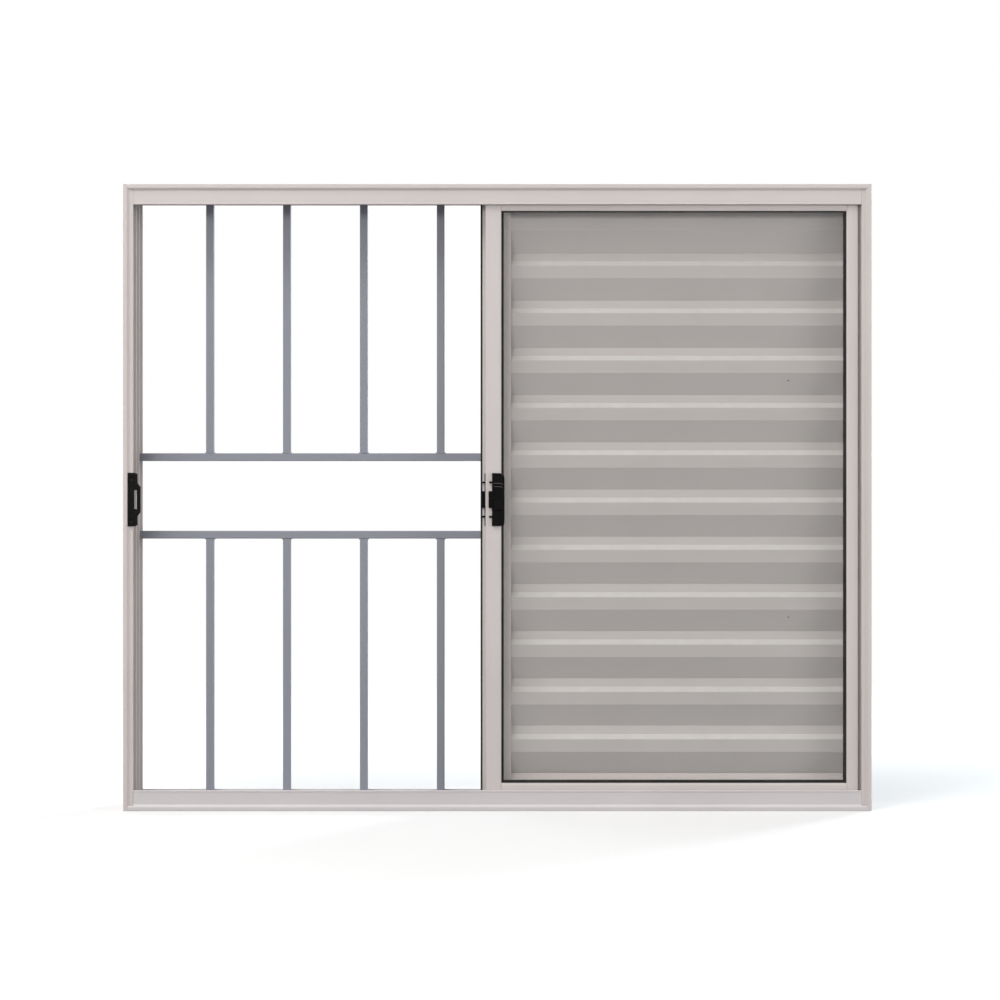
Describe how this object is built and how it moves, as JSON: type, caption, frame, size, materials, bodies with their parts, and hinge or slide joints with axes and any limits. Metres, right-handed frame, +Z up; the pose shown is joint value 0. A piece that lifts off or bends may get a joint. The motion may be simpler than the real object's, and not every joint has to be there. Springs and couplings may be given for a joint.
{
  "type": "sliding shutter window",
  "caption": "Three-track sliding window of pale aluminium: glass sash, sliding louvred shutter, fixed louvred shutter and bar grille in one frame.",
  "frame": {"origin": "middle of the sill's flat underside, half-way along the width and through the depth of the frame", "axes": "+X along the width, to the right seen from the room; +Y from the room to the outside; +Z up"},
  "size_m": [1.2, 0.1, 1.005],
  "materials": {
    "coated_aluminium": "satin pale warm grey coating",
    "grille_aluminium": "satin grey coating",
    "clear_glass": "clear float glass",
    "black_rubber": "matt",
    "black_plastic": "fine satin moulding",
    "white_nylon": "smooth",
    "dark_pile": "short brush pile"
  },
  "bodies": {
    "root": {"frame_head": "coated_aluminium", "frame_sill": "coated_aluminium", "left_jamb": "coated_aluminium", "right_jamb": "coated_aluminium", "grille_upper_crossbar": "grille_aluminium", "grille_lower_crossbar": "grille_aluminium", "grille_upper_bars": "grille_aluminium", "grille_lower_bars": "grille_aluminium", "fixed_shutter_left_stile": "coated_aluminium", "fixed_shutter_right_stile": "coated_aluminium", "fixed_shutter_top_rail": "coated_aluminium", "fixed_shutter_bottom_rail": "coated_aluminium", "fixed_shutter_slats": "coated_aluminium", "sliding_shutter_lock_stile": "coated_aluminium", "sliding_shutter_right_stile": "coated_aluminium", "sliding_shutter_top_rail": "coated_aluminium", "sliding_shutter_bottom_rail": "coated_aluminium", "sliding_shutter_slats": "coated_aluminium", "sliding_shutter_roller_carriages": "black_plastic", "sliding_shutter_roller_wheels": "white_nylon", "sliding_shutter_latch": "black_plastic", "sliding_shutter_latch_hook": "black_plastic", "glass_sash_lock_stile": "coated_aluminium", "glass_sash_right_stile": "coated_aluminium", "glass_sash_top_rail": "coated_aluminium", "glass_sash_bottom_rail": "coated_aluminium", "glass_pane": "clear_glass", "glazing_gasket": "black_rubber", "glass_sash_roller_carriages": "black_plastic", "glass_sash_roller_wheels": "white_nylon", "glass_sash_latch": "black_plastic", "glass_sash_latch_hook": "black_plastic", "latch_keeper": "black_plastic", "interlock_pile_seal": "dark_pile"}
  },
  "joints": []
}
